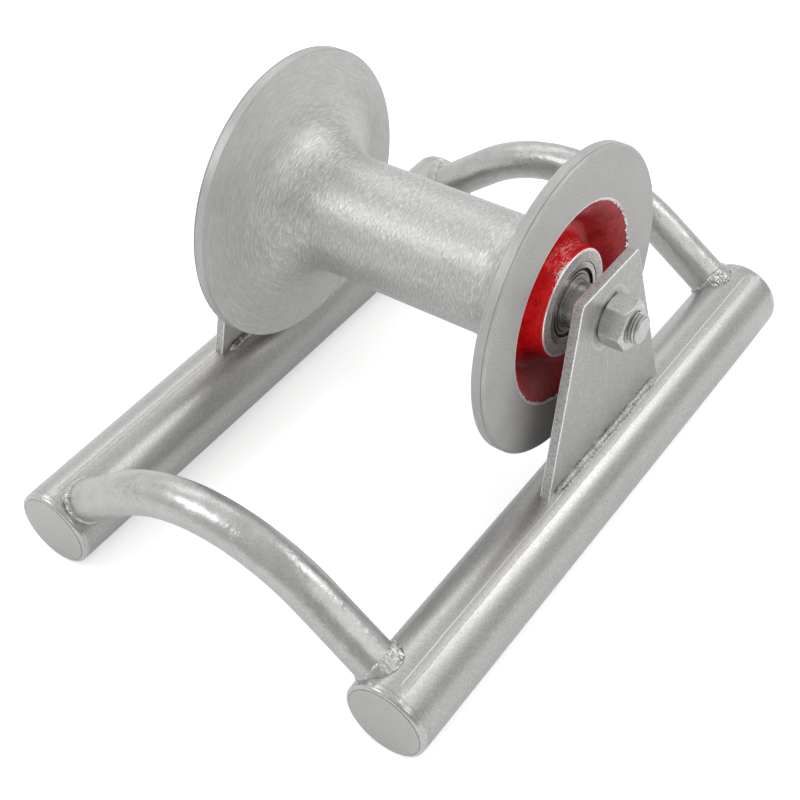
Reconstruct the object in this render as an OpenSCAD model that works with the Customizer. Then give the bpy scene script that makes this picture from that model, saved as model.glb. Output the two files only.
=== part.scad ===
// Cable pulling roller on a welded tube frame.
// +X runs along the skids, +Y along the roller's axle, +Z up; the skids stand on z = 0.
// Front is -X, rear is +X, left is +Y, right is -Y.

/* [Skids] */
// Overall length of a skid with both end caps
skid_len = 270; // [240:5:400]
// Outer diameter of a skid tube
skid_od = 33.4; // [30:0.1:40]
// Wall of a skid tube
skid_wall = 2.8; // [2:0.1:4]
// Radius of the rounding round the ends of a skid tube
tube_end_r = 1.5; // [0.5:0.1:2]
// Thickness of an end cap outside the tube
cap_t = 3; // [2:0.5:6]
// How far the cap's edge lies inside the tube's outer surface
cap_step = 0.5; // [0.2:0.1:1.5]
// Chamfer on the outer edge of a cap
cap_chamfer = 0.7; // [0.3:0.1:1.2]
// Length of the cap's spigot inside the tube
spigot_len = 5; // [3:1:12]
// Gap round the spigot
spigot_gap = 0.1; // [0.05:0.05:0.3]

/* [Cross tubes] */
// Outer diameter of a cross tube
cross_od = 17; // [14:0.1:20]
// Wall of a cross tube
cross_wall = 2.3; // [1.5:0.1:3]
// Distance of a cross tube from the end of the skids
cross_inset = 12; // [12:1:40]
// Height of the middle of the arch above the ground, to the tube's centre line
arch_height = 62.5; // [50:0.5:75]
// Bend radius of the arch, to the tube's centre line
bend_r = 75; // [60:1:78]
// How far above the skid's centre line the leg of the arch aims
leg_aim = 4.4; // [0:0.1:7]
// How much bending draws the tube in, on the radius
bend_draw = 0.05; // [0.02:0.01:0.2]

/* [Brackets] */
// Thickness of a bracket plate
plate_t = 4; // [3:0.5:8]
// Width of a plate along its top edge
plate_top_w = 39; // [30:1:50]
// Width of a plate along its foot
plate_foot_w = 83.4; // [60:0.2:110]
// Height of the top edge above the axle
plate_over_axle = 18.6; // [14:0.2:30]
// Corner radius of a plate
plate_corner_r = 1.5; // [0.5:0.5:5]
// How far a plate stands inboard of the skid's centre line
plate_inboard = 1; // [0:0.5:4]
// How far the right plate's foot is set to the rear of the axle
right_foot_shift = 2; // [-6:0.5:6]
// How far the left plate's foot is set to the rear of the axle
left_foot_shift = -2; // [-6:0.5:6]

/* [Welds] */
// Leg length of the weld round a cross tube's end
cross_weld = 2.4; // [1.5:0.1:3.5]
// Radius of the weld bead along a plate's foot
foot_weld_r = 2; // [1.5:0.1:3]
// How far the bead stops short of the ends of the foot
foot_weld_inset = 4; // [2:1:15]
// Gap left between a cut end and the tube it is welded to
weld_gap = 0.1; // [0.05:0.05:0.3]

/* [Roller] */
// Diameter over the flanges
flange_d = 120; // [90:1:124]
// Diameter of the barrel at its middle
barrel_d = 48; // [46:1:60]
// Length over the flange faces
roller_len = 132; // [110:1:200]
// Width of the rim at the flange's edge
rim_w = 5.4; // [4:0.2:10]
// Radius of the flare from the barrel to the flange
flare_r = 26; // [18:1:29]
// Slope of the flange's inner face
flange_slope = 6; // [2:1:10]
// Chamfer on the rim at the outer face
rim_chamfer = 0.8; // [0.4:0.1:1.5]
// Chamfer on the rim at the inner face
rim_inner_chamfer = 0.5; // [0.3:0.1:1.5]
// Diameter of the recess in the end face
recess_d = 79; // [66:1:86]
// Depth of the recess round the boss
recess_depth = 12; // [6:0.5:14]
// Bulge radius of the recess's sloping wall
recess_bulge_r = 30; // [20:1:60]
// Radius in the bottom of the recess
valley_r = 4; // [2.5:0.5:5]
// Diameter of the boss at its face
boss_d = 42.4; // [40:0.2:46]
// Thickening of the boss towards its root, on the radius
boss_draft = 1.2; // [0.5:0.1:2.5]
// Diameter of the bore between the bearing seats
bore_d = 26; // [22:0.5:28]
// Height of the axle above the ground
axle_z = 94; // [84:1:120]
// Distance of the axle to the rear of the frame's middle
axle_x = 10; // [-30:1:30]

/* [Bearings] */
// Bore of a bearing
brg_bore = 12; // [12:0.5:14]
// Outer diameter of a bearing
brg_od = 32; // [32:0.5:36]
// Width of a bearing
brg_w = 10; // [10:0.5:12]
// Diameter of a ball
ball_d = 5.95; // [5:0.05:6.2]
// Number of balls in a bearing
ball_count = 7; // [5:1:8]
// Outer diameter of the inner ring's shoulders
inner_shoulder_d = 18.3; // [17.4:0.1:19]
// Inner diameter of the outer ring's shoulders
outer_shoulder_d = 26; // [25:0.1:27]
// Radius of a race less the ball's radius
race_play = 0.04; // [0.02:0.01:0.08]
// Thickness of a shield
shield_t = 0.4; // [0.3:0.1:0.6]
// How far a shield lies inside the bearing's face
shield_inset = 0.5; // [0.3:0.1:0.8]
// Depth of the shield's seat in the outer ring's shoulder
shield_seat = 0.7; // [0.4:0.1:1]
// Gap between a shield and the inner ring
shield_gap = 0.3; // [0.2:0.1:0.5]
// Width of a shield's raised lip on the radius
shield_lip = 1.8; // [1:0.1:2.5]
// Height of the raised lip above the rest of the shield
shield_step = 0.3; // [0.1:0.1:0.4]
// Thickness of the cage's sheet
cage_t = 0.6; // [0.4:0.1:0.8]
// Gap between a ball and its cage pocket
pocket_gap = 0.1; // [0.05:0.05:0.15]
// Width of the cage band on the radius
cage_band = 1.6; // [1.2:0.1:2]
// Chamfer on a bearing ring where it meets its seat
ring_chamfer = 0.5; // [0.2:0.1:0.8]
// Gap on the radius between a bearing and what it fits
fit_gap = 0.02; // [0.01:0.01:0.05]

/* [Axle] */
// Width across the flats of the axle bolt's head
head_af = 18; // [17:0.5:24]
// Height of the axle bolt's head
head_h = 7.5; // [6:0.5:10]
// Width across the flats of the nut
nut_af = 18; // [17:0.5:24]
// Height of the nut
nut_h = 10; // [8:0.2:14]
// Length of bolt past the nut
bolt_past_nut = 3.6; // [2:0.2:12]
// Chamfer on the end of the bolt
bolt_chamfer = 0.9; // [0.5:0.1:1.5]
// Gap round the bolt in a plate's hole
hole_gap = 0.25; // [0.1:0.05:0.5]
// Gap round the bolt in the nut, a plain stand-in for the thread
thread_gap = 0.02; // [0.01:0.01:0.05]
// Length of the spacer bush between a bearing and its plate
bush_len = 11; // [8:0.5:20]
// Outer diameter of a spacer bush
bush_od = 18; // [16:0.2:18.2]
// Gap round the bolt in a bush
bush_gap = 0.2; // [0.1:0.05:0.4]
// Wall of the tube that keeps the inner rings apart
keeper_wall = 2.2; // [1.5:0.1:2.6]

/* [Hidden] */
$fn = 96;
// Extra length of a cutter past the face it cuts
eps = 0.01;
// Angle of the turned chamfer on hexagon corners
hex_chamfer = 30;
// Share of a foot bead's radius by which its centre stands off the plate's face
bead_stand = 0.3;
skid_r = skid_od / 2;
pipe_len = skid_len - 2 * cap_t;
cross_r = cross_od / 2;
// Faces counted outwards along the axle from the middle
brg_in = roller_len / 2 - brg_w;
brg_mid = roller_len / 2 - brg_w / 2;
plate_in = roller_len / 2 + bush_len;
plate_out = plate_in + plate_t;
skid_y = plate_in + plate_t / 2 + plate_inboard;
cross_x = skid_len / 2 - cross_inset;
foot_z = 2 * skid_r;
plate_top_z = axle_z + plate_over_axle;
bolt_r = brg_bore / 2 - fit_gap;
race_r = ball_d / 2 + race_play;
pitch_r = (brg_bore + brg_od) / 4;
// The arch's leg is the tangent from its aim on the skid to the bend's circle
bend_z = arch_height - bend_r;
aim_z = skid_r + leg_aim;
aim_span = norm([skid_y, aim_z - bend_z]);
leg_angle = atan2(skid_y, aim_z - bend_z) - acos(bend_r / aim_span);
leg_len = sqrt(aim_span * aim_span - bend_r * bend_r);
// Angle by which the bend laps into each leg
bend_lap = 0.5;
// The flare's circle touches the barrel and the sloping inner face of the flange
flange_r = flange_d / 2;
barrel_r = barrel_d / 2;
rim_y = roller_len / 2 - rim_w;
flare_top = barrel_r + flare_r;
flare_y = rim_y - (flare_r - (flare_top - flange_r) * sin(flange_slope)) / cos(flange_slope);
flare_end = [flare_top - flare_r * sin(flange_slope), flare_y + flare_r * cos(flange_slope)];
// The recess's wall runs from its edge to the circle in the valley
face_y = roller_len / 2;
recess_edge = [recess_d / 2, face_y];
valley = [boss_d / 2 + boss_draft + valley_r, face_y - recess_depth + valley_r];
wall_span = norm(recess_edge - valley);
wall_turn = atan2(recess_edge.y - valley.y, recess_edge.x - valley.x) - acos(valley_r / wall_span);
wall_foot = valley + valley_r * [cos(wall_turn), sin(wall_turn)];
wall_mid = (recess_edge + wall_foot) / 2;
wall_half = norm(recess_edge - wall_foot) / 2;
wall_way = (recess_edge - wall_foot) / (2 * wall_half);
bulge_c = wall_mid + sqrt(pow(recess_bulge_r, 2) - pow(wall_half, 2)) * [wall_way.y, -wall_way.x];

// Puts a shape drawn along +Z from the axle's middle on the axle, outwards to one side
module on_axle(side) {
    translate([axle_x, 0, axle_z]) rotate([-90 * side, 0, 0]) children();
}

// A ring along +Z between two heights
module ring(r_out, r_in, z0, z1) {
    translate([0, 0, z0]) difference() {
        cylinder(r = r_out, h = z1 - z0);
        translate([0, 0, -eps]) cylinder(r = r_in, h = z1 - z0 + 2 * eps);
    }
}

// A bar along a skid's centre line
module skid_bar(side, r, len) {
    translate([-len / 2, side * skid_y, skid_r]) rotate([0, 90, 0]) cylinder(r = r, h = len);
}

module skid_tube(side) {
    color("silver") translate([0, side * skid_y, skid_r]) rotate([0, 90, 0]) rotate_extrude()
        difference() {
            translate([skid_r - skid_wall, -pipe_len / 2]) square([skid_wall, pipe_len]);
            tube_corner();
            mirror([0, 1]) tube_corner();
        }
}

// What the rounding takes off the tube's section at one end
module tube_corner() {
    translate([skid_r - tube_end_r, pipe_len / 2 - tube_end_r]) difference() {
        square(tube_end_r + eps);
        circle(r = tube_end_r);
    }
}

// A disc that covers the tube's end, with a spigot that centres it in the bore
module end_cap(end, side) {
    cap_r = skid_r - cap_step;
    color("gainsboro") translate([end * (skid_len / 2 - cap_t), side * skid_y, skid_r])
        rotate([0, 90 * end, 0]) rotate_extrude() polygon([
            [0, -spigot_len],
            [skid_r - skid_wall - spigot_gap, -spigot_len],
            [skid_r - skid_wall - spigot_gap, 0],
            [cap_r, 0],
            [cap_r, cap_t - cap_chamfer],
            [cap_r - cap_chamfer, cap_t],
            [0, cap_t]
        ]);
}

// Turns the frame of the bend's circle so that its end on one side lies on the +Z axis
module leg_frame(side) {
    translate([0, 0, bend_z]) rotate([-side * leg_angle, 0, 0]) children();
}

// The straight leg on one side, from a given distance past the bend
module arch_leg(side, r, from) {
    leg_frame(side) translate([0, side * from, bend_r]) rotate([-90 * side, 0, 0])
        cylinder(r = r, h = leg_len - from);
}

// The bend laps into both legs by a little, where it is hidden by their wider section
module arch_bend(r) {
    sweep = leg_angle + bend_lap;
    translate([0, 0, bend_z]) rotate([sweep, 0, 0]) rotate([0, -90, 0])
        rotate_extrude(angle = 2 * sweep) translate([bend_r, 0]) circle(r = r - bend_draw);
}

module arch_bar(r) {
    arch_bend(r);
    for (side = [-1, 1]) arch_leg(side, r, 0);
}

module cross_tube(end) {
    color("darkgray") difference() {
        translate([end * cross_x, 0, 0]) difference() {
            arch_bar(cross_r);
            arch_bar(cross_r - cross_wall);
        }
        skid_bar(1, skid_r + weld_gap, skid_len);
        skid_bar(-1, skid_r + weld_gap, skid_len);
    }
}

// The fillet follows the saddle curve: what lies near both tubes and in neither
module cross_weld_bead(end, side) {
    from = leg_len / 3;
    difference() {
        intersection() {
            translate([end * cross_x, 0, 0]) arch_leg(side, cross_r + cross_weld, from);
            skid_bar(side, skid_r + cross_weld, pipe_len);
        }
        translate([end * cross_x, 0, 0]) arch_leg(side, cross_r, from);
        skid_bar(side, skid_r, skid_len);
    }
}

module cross_tube_welds() {
    color("lightgray") for (end = [-1, 1], side = [-1, 1]) cross_weld_bead(end, side);
}

// Points of a polygon's corner b, rounded between its neighbours a and c
function rounded(a, b, c, r, n = 6) =
    let(u = (a - b) / norm(a - b), v = (c - b) / norm(c - b))
    let(half = acos(u * v) / 2, m = (u + v) / norm(u + v))
    let(o = b + m * r / sin(half), start = b + u * r / tan(half) - o)
    let(turn = (u.x * v.y - u.y * v.x > 0 ? -1 : 1) * (180 - 2 * half))
    [for (i = [0:n]) let(t = turn * i / n)
        o + [start.x * cos(t) - start.y * sin(t), start.x * sin(t) + start.y * cos(t)]];

module plate_outline(shift) {
    bottom = skid_r;
    reach = (plate_foot_w - plate_top_w) / 2 / (plate_top_z - foot_z);
    lean = shift / (plate_top_z - foot_z);
    down = plate_top_z - bottom;
    p = [
        [axle_x + plate_top_w / 2 + (reach + lean) * down, bottom],
        [axle_x + plate_top_w / 2, plate_top_z],
        [axle_x - plate_top_w / 2, plate_top_z],
        [axle_x - plate_top_w / 2 - (reach - lean) * down, bottom]
    ];
    polygon(concat(
        [p[0]],
        rounded(p[0], p[1], p[2], plate_corner_r),
        rounded(p[1], p[2], p[3], plate_corner_r),
        [p[3]]
    ));
}

module bracket(side, shift) {
    color("lightsteelblue") difference() {
        translate([0, side * (plate_in + plate_out) / 2 + plate_t / 2, 0]) rotate([90, 0, 0])
            linear_extrude(plate_t) plate_outline(shift);
        on_axle(side) translate([0, 0, plate_in - 1])
            cylinder(r = bolt_r + hole_gap, h = plate_t + 2);
        skid_bar(side, skid_r + weld_gap, skid_len);
    }
}

// A round bead in the corner between the plate's face and the tube's crown
module foot_bead(side, plate_face, outwards, shift) {
    bead_len = plate_foot_w - 2 * foot_weld_inset;
    bead_y = side * (plate_face + outwards * foot_weld_r * bead_stand);
    off = abs(bead_y) - skid_y;
    translate([axle_x + shift - bead_len / 2, bead_y, skid_r + sqrt(skid_r * skid_r - off * off)])
        rotate([0, 90, 0]) cylinder(r = foot_weld_r, h = bead_len);
}

module plate_welds(side, shift) {
    difference() {
        union() {
            foot_bead(side, plate_out, 1, shift);
            foot_bead(side, plate_in, -1, shift);
        }
        skid_bar(side, skid_r, skid_len);
        translate([-skid_len / 2, side * (plate_in + plate_out) / 2 - plate_t / 2, 0])
            cube([skid_len, plate_t, plate_top_z]);
    }
}

module bracket_welds() {
    color("lightgray") {
        plate_welds(1, left_foot_shift);
        plate_welds(-1, right_foot_shift);
    }
}

// A hexagonal prism whose corners are turned to a cone at the top, and at the foot if asked
module hex_block(af, h, low_chamfer) {
    corner_r = af / sqrt(3);
    reach = corner_r + 1;
    drop = (reach - af / 2) * tan(hex_chamfer);
    intersection() {
        cylinder(r = corner_r, h = h, $fn = 6);
        rotate_extrude() polygon([
            [0, 0],
            [low_chamfer ? af / 2 : reach, 0],
            [reach, low_chamfer ? drop : 0],
            [reach, h - drop],
            [af / 2, h],
            [0, h]
        ]);
    }
}

module axle_bolt() {
    tip = plate_out + nut_h + bolt_past_nut;
    color("lightgray") {
        on_axle(1) translate([0, 0, plate_out]) hex_block(head_af, head_h, false);
        on_axle(-1) rotate_extrude() polygon([
            [0, -plate_out - head_h / 2],
            [bolt_r, -plate_out - head_h / 2],
            [bolt_r, tip - bolt_chamfer],
            [bolt_r - bolt_chamfer, tip],
            [0, tip]
        ]);
    }
}

module axle_nut() {
    color("silver") on_axle(-1) translate([0, 0, plate_out]) difference() {
        hex_block(nut_af, nut_h, true);
        translate([0, 0, -1]) cylinder(r = bolt_r + thread_gap, h = nut_h + 2);
    }
}

module spacer_bush(side) {
    color("gray") on_axle(side) ring(bush_od / 2, bolt_r + bush_gap, roller_len / 2, plate_in);
}

module centre_spacer_tube() {
    color("gray") on_axle(1)
        ring(bolt_r + bush_gap + keeper_wall, bolt_r + bush_gap, -brg_in, brg_in);
}

// Half of the shell's section from the middle to one end, as radius and height
module shell_half() {
    difference() {
        union() {
            square([barrel_r, flare_y]);
            difference() {
                polygon([[0, flare_y], [flare_top, flare_y], flare_end, [0, flare_end.y]]);
                translate([flare_top, flare_y]) circle(r = flare_r);
            }
            polygon([
                [0, flare_end.y],
                flare_end,
                [flange_r - rim_inner_chamfer, rim_y - rim_inner_chamfer * tan(flange_slope)],
                [flange_r, rim_y + rim_inner_chamfer],
                [flange_r, face_y - rim_chamfer],
                [flange_r - rim_chamfer, face_y],
                [0, face_y]
            ]);
        }
        recess_section();
        square([bore_d / 2, brg_in]);
        translate([0, brg_in]) square([brg_od / 2 + fit_gap, brg_w + 1]);
    }
}

// The recess between the boss and the face, with a bulging wall and a round valley
module recess_section() {
    difference() {
        union() {
            translate(valley) circle(r = valley_r);
            polygon([
                [boss_d / 2, face_y + 1],
                [boss_d / 2, face_y],
                [valley.x - valley_r, valley.y],
                valley,
                wall_foot,
                recess_edge,
                recess_edge + [0, 1]
            ]);
        }
        translate(bulge_c) circle(r = recess_bulge_r, $fn = 180);
    }
}

module roller_shell() {
    color("silver") on_axle(1) {
        rotate_extrude() shell_half();
        mirror([0, 0, 1]) rotate_extrude() shell_half();
    }
}

// A bearing's parts are drawn about its middle and put in the left or right seat
module in_seat(side) {
    on_axle(side) translate([0, 0, brg_mid]) children();
}

module race() {
    rotate_extrude() translate([pitch_r, 0]) circle(r = race_r);
}

// A bearing ring's section from its shoulder to its seat, chamfered at the seat's two edges
module seat_section(shoulder, seat, chamfer) {
    polygon([
        [shoulder, -brg_w / 2],
        [shoulder, brg_w / 2],
        [seat + chamfer, brg_w / 2],
        [seat, brg_w / 2 - abs(chamfer)],
        [seat, abs(chamfer) - brg_w / 2],
        [seat + chamfer, -brg_w / 2]
    ]);
}

module inner_ring(side) {
    color("dimgray") in_seat(side) difference() {
        rotate_extrude() seat_section(inner_shoulder_d / 2, brg_bore / 2, ring_chamfer);
        race();
    }
}

module outer_ring(side) {
    color("lightsteelblue") in_seat(side) difference() {
        rotate_extrude() seat_section(outer_shoulder_d / 2, brg_od / 2, -ring_chamfer);
        race();
        for (end = [0, 1]) mirror([0, 0, end])
            translate([0, 0, brg_w / 2 - shield_inset - shield_t])
                cylinder(r = outer_shoulder_d / 2 + shield_seat, h = brg_w);
    }
}

// Two sheet rings with a step pressed in, held in the outer ring's seats
module bearing_shields(side) {
    r_in = inner_shoulder_d / 2 + shield_gap;
    r_out = outer_shoulder_d / 2 + shield_seat - fit_gap;
    step_r = r_in + shield_lip;
    color("gray") in_seat(side) for (end = [0, 1]) mirror([0, 0, end])
        translate([0, 0, brg_w / 2 - shield_inset - shield_t]) rotate_extrude() polygon([
            [r_in, shield_step],
            [step_r, shield_step],
            [step_r + shield_step, 0],
            [r_out, 0],
            [r_out, shield_t],
            [step_r + shield_step, shield_t],
            [step_r, shield_t + shield_step],
            [r_in, shield_t + shield_step]
        ]);
}

module balls(side) {
    color("silver") in_seat(side) for (i = [0:ball_count - 1])
        rotate([0, 0, 360 * i / ball_count]) translate([pitch_r, 0, 0]) sphere(d = ball_d);
}

// One pocket's bore or wall, along the radius through a ball
module pocket(i, r) {
    rotate([0, 0, 360 * i / ball_count]) translate([pitch_r - cage_band, 0, 0]) rotate([0, 90, 0])
        cylinder(r = r, h = 2 * cage_band);
}

// A ribbon of two sheets that lie flat between the balls and swell round each of them
module ball_cage(side) {
    pocket_r = ball_d / 2 + pocket_gap;
    color("lightslategray") in_seat(side) difference() {
        intersection() {
            ring(pitch_r + cage_band / 2, pitch_r - cage_band / 2, -brg_w / 2, brg_w / 2);
            union() {
                cylinder(r = pitch_r + cage_band, h = 2 * cage_t, center = true);
                for (i = [0:ball_count - 1]) pocket(i, pocket_r + cage_t);
            }
        }
        for (i = [0:ball_count - 1]) pocket(i, pocket_r);
    }
}

skid_tube(1);  // left_skid_tube
skid_tube(-1);  // right_skid_tube
end_cap(-1, 1);  // front_left_end_cap
end_cap(-1, -1);  // front_right_end_cap
end_cap(1, 1);  // rear_left_end_cap
end_cap(1, -1);  // rear_right_end_cap
cross_tube(-1);  // front_cross_tube
cross_tube(1);  // rear_cross_tube
cross_tube_welds();
bracket(1, left_foot_shift);  // left_bracket
bracket(-1, right_foot_shift);  // right_bracket
bracket_welds();
axle_bolt();
axle_nut();
spacer_bush(1);  // left_spacer_bush
spacer_bush(-1);  // right_spacer_bush
centre_spacer_tube();
roller_shell();
inner_ring(1);  // left_inner_ring
inner_ring(-1);  // right_inner_ring
outer_ring(1);  // left_outer_ring
outer_ring(-1);  // right_outer_ring
bearing_shields(1);  // left_bearing_shields
bearing_shields(-1);  // right_bearing_shields
balls(1);  // left_balls
balls(-1);  // right_balls
ball_cage(1);  // left_ball_cage
ball_cage(-1);  // right_ball_cage
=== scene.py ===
from math import acos, atan2, ceil, cos, degrees, pi, radians, sin, sqrt, tan

import bmesh
import bpy
from mathutils import Matrix, Vector, noise


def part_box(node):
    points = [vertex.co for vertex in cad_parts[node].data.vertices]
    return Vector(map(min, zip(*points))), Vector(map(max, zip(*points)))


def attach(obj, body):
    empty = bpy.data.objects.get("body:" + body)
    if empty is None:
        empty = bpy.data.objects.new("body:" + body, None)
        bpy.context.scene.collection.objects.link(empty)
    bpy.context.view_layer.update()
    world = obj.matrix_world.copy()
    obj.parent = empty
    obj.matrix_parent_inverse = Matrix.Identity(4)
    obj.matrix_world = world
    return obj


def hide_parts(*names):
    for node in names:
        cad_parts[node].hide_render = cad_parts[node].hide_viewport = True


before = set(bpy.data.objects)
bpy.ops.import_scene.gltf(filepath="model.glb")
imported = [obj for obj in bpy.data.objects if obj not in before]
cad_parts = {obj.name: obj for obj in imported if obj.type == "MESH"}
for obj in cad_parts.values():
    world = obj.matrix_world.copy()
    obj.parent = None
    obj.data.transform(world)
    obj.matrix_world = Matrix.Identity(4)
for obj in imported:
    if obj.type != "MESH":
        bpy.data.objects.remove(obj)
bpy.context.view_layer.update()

MM = 0.001

# Distances that count as none
MERGE = 0.002 * MM
HEX_MERGE = 0.001 * MM
SAME_POINT = 1e-7
ON_AXIS = 1e-9
SAME_PLANE = 1e-6

# Places and sizes read from the frame
skid_low, skid_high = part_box("right_skid_tube")
cap_low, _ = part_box("front_right_end_cap")
shell_low, shell_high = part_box("roller_shell")
cross_low, cross_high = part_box("rear_cross_tube")
plate_low, plate_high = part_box("right_bracket")
nut_low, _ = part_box("axle_nut")
bolt_low, bolt_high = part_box("axle_bolt")
bush_low, bush_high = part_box("right_spacer_bush")

SKID_R = (skid_high.z - skid_low.z) / 2
SKID_Y = -(skid_low.y + skid_high.y) / 2
SKID_END = skid_high.x
FRAME_END = -cap_low.x
AXLE = (shell_low + shell_high) / 2
FLANGE_R = (shell_high.z - shell_low.z) / 2
ROLLER_END = shell_high.y
CROSS_X = (cross_low.x + cross_high.x) / 2
CROSS_R = (cross_high.x - cross_low.x) / 2
PLATE_IN = -plate_high.y
PLATE_OUT = -plate_low.y
PLATE_TOP = plate_high.z
NUT_OUT = -nut_low.y
BOLT_TIP = -bolt_low.y
HEAD_OUT = bolt_high.y
BUSH_R = (bush_high.z - bush_low.z) / 2

# Sizes of the skid tubes and their caps
SKID_WALL = 2.8 * MM
SKID_END_ROUND = 0.12 * MM
CAP_DISC_R = 14.9 * MM
CAP_SHOULDER_R = 16.64 * MM
CAP_ROUND = 1.5 * MM
SPIGOT_R = 13.8 * MM
SPIGOT_LEN = 5 * MM

# Sizes of the roller's section
BARREL_R = 24 * MM
RIM_W = 5.4 * MM
FLARE_R = 26 * MM
FLANGE_SLOPE = radians(6)
RECESS_R = 39.5 * MM
RECESS_DEPTH = 12 * MM
RECESS_BULGE_R = 30 * MM
VALLEY_R = 4 * MM
BOSS_R = 21.2 * MM
BOSS_DRAFT = 1.2 * MM
SEAT_R = 16.02 * MM
BORE_R = 13 * MM

# Sizes of the bearings
BEARING_W = 10 * MM
RING_OUT_R = 16 * MM
RING_SHOULDER_R = 13 * MM
INNER_SHOULDER_R = 9.15 * MM
BEARING_BORE_R = 6 * MM
SHIELD_SEAT_R = 13.7 * MM
SHIELD_Z = 4.1 * MM
RACE_R = 3.015 * MM
PITCH_R = 11 * MM

# A shield's section in millimetres of (radius, height), one open line for each finish
SHIELD_LINES = (
    ((9.45, 4.1), (9.45, 4.75), (9.55, 4.85), (10.9, 4.85), (11.05, 4.75)),
    ((11.05, 4.75), (11.15, 4.45), (11.4, 4.45)),
    ((11.4, 4.45), (11.5, 4.55), (12.2, 4.55), (12.35, 4.45)),
    ((12.35, 4.45), (12.4, 4.2), (13.68, 4.2), (13.68, 4.1), (9.45, 4.1)),
)

# Sizes of the bolt, its nut and the bushes
THREAD_R = 5.98 * MM
THREAD_PITCH = 1.25 * MM
THREAD_DEPTH = 0.55 * MM
BOLT_CHAMFER = 0.9 * MM
HEX_FLATS = 18 * MM
HEX_CORNER_R = 10.25 * MM
HEX_FACE_R = 8.5 * MM
HEX_CHAMFER = radians(30)
HEX_CONE = (HEX_CORNER_R - HEX_FACE_R) * tan(HEX_CHAMFER)
HEX_BEVEL = 0.16 * MM
BUSH_BORE_R = 6.18 * MM
HOLE_R = 6.23 * MM

# Sizes of the arched cross tubes and their welds
BEND_R = 75 * MM
BEND_Z = -12.5 * MM
LEG_ANGLE = radians(37.03)
LEG_AIM_Z = 21.1 * MM
SQUARE_CUT = 14 * MM
CROSS_FIT = 0.1 * MM
BLOB_SPREAD = 22
BEND_STEPS = 64
LEG_STEPS = 10

# Each cross tube weld: its end and side, its coarse blob's angle, and its crack's angle and spread,
# with all angles in degrees round the tube
CROSS_WELDS = (
    (-1, -1, 48, (10, 5)), (-1, 1, 150, (172, 12)), (1, -1, 118, (66, 5)), (1, 1, 60, (20, 4)),
)

# Sizes of the bracket plates and their welds
PLATE_TOP_W = 39 * MM
PLATE_FOOT_W = 83.4 * MM
PLATE_FOOT_Z = 33.2 * MM
PLATE_CORNER = 1.5 * MM
PLATE_EDGE = 0.35 * MM
FOOT_SHIFT = 2 * MM
FOOT_BEAD_LEN = 75.4 * MM
FOOT_BEAD_R = 1.7 * MM
FOOT_BEAD_OUT = 0.6 * MM
FOOT_RIPPLE = 0.36 * MM

# Steps round the pieces
SKID_STEPS = 192
CAP_STEPS = 128
CROSS_STEPS = 72
COLLAR_STEPS = 480
BEAD_STEPS = 14
BEAD_STATIONS = 150
HOLE_STEPS = 64
HEX_STEPS = 192
THREAD_STEPS = 96
BEARING_STEPS = 128
ROLLER_STEPS = 256

# Places of marks: angles about the axle run from the top towards the rear
# The boss's strokes of worn paint and painted highlight are centred at this angle
WORN_GLINT_ANGLE = radians(-19)
# Where the pink painted highlight lies on the boss's flank
GLINT_ANGLE = radians(6)
GLINT_DEPTH = 5.2 * MM
CHIPPED_ANGLE = radians(80)
RIM_LINE_DEPTH = 1.25 * MM
RUBBED_R = 12.2 * MM
STROKE_R = 45 * MM
RIGHT_SEAM_ANGLE = radians(-16.8)
LEFT_SEAM_ANGLE = radians(-2.5)

# Shares and colours of the finishes
METAL_SHARE = 0.85
ROUGH_SPREAD = 0.03
FINE_GRAIN = 0.55 * MM
WHITE = (1, 1, 1, 1)
FLOOR_WHITE = (0.9, 0.9, 0.9, 1)
# GLINT_PINK is the colour of a painted highlight on the red boss
GLINT_PINK = (0.95, 0.42, 0.42, 1)
DUSTY_RED = (0.5, 0.09, 0.09, 1)
SHADOW_RED = (0.08, 0.006, 0.008, 1)
CHIP_BROWN = (0.1, 0.04, 0.04, 1)

# The camera, fitted to the photograph (azimuth, elevation and roll in degrees), and the studio
CAMERA_TURN = (-51.4766, 43.5272, -4.1246)
CAMERA_PLACE = (-0.352181, -0.270192, 0.441654)
CAMERA_LENS = 66.193
SENSOR_W = 36
LAMP_AIM = Vector((0, 0, 0.06))
LAMP_DISTANCE = 1.3
TENT_WAY = (0.35, 0.9, 0.4)
FLOOR_HALF = 6


# Helpers for meshes

def mesh_of(bm, name):
    """Turns a bmesh into a mesh and frees it."""
    mesh = bpy.data.meshes.new(name)
    bm.to_mesh(mesh)
    bm.free()
    return mesh


def placed(name, data):
    """A new object in the scene."""
    made = bpy.data.objects.new(name, data)
    bpy.context.scene.collection.objects.link(made)
    return made


def piece(name, bm, body, finishes, nodes, crease=32):
    """Makes a finished piece from a bmesh and hangs it on its body."""
    mesh = mesh_of(bm, name)
    mesh.shade_smooth()
    mesh.set_sharp_from_angle(angle=radians(crease))
    for finish in finishes:
        mesh.materials.append(finish)
    made = placed(name, mesh)
    made.modifiers.new("even_normals", "WEIGHTED_NORMAL").keep_sharp = True
    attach(made, body)
    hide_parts(*nodes)


def arc(centre, radius, start, end, steps):
    """Points on an arc between two angles in degrees, both ends included."""
    angles = [radians(start + (end - start) * i / steps) for i in range(steps + 1)]
    return [(centre[0] + radius * cos(a), centre[1] + radius * sin(a)) for a in angles]


def eased(corners, steps=4):
    """A closed outline from (x, y, radius) corners, where each radius above 0 rounds its corner."""
    points = []
    for i, corner in enumerate(corners):
        here = Vector(corner[:2])
        if not corner[2]:
            points.append(tuple(here))
            continue
        back = (Vector(corners[i - 1][:2]) - here).normalized()
        on = (Vector(corners[(i + 1) % len(corners)][:2]) - here).normalized()
        half = back.angle(on) / 2
        middle = here + (back + on).normalized() * corner[2] / sin(half)
        start = (here + back * corner[2] / tan(half) - middle).normalized()
        end = (here + on * corner[2] / tan(half) - middle).normalized()
        points += [tuple(middle + start.slerp(end, k / steps) * corner[2]) for k in range(steps + 1)]
    return points


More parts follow.
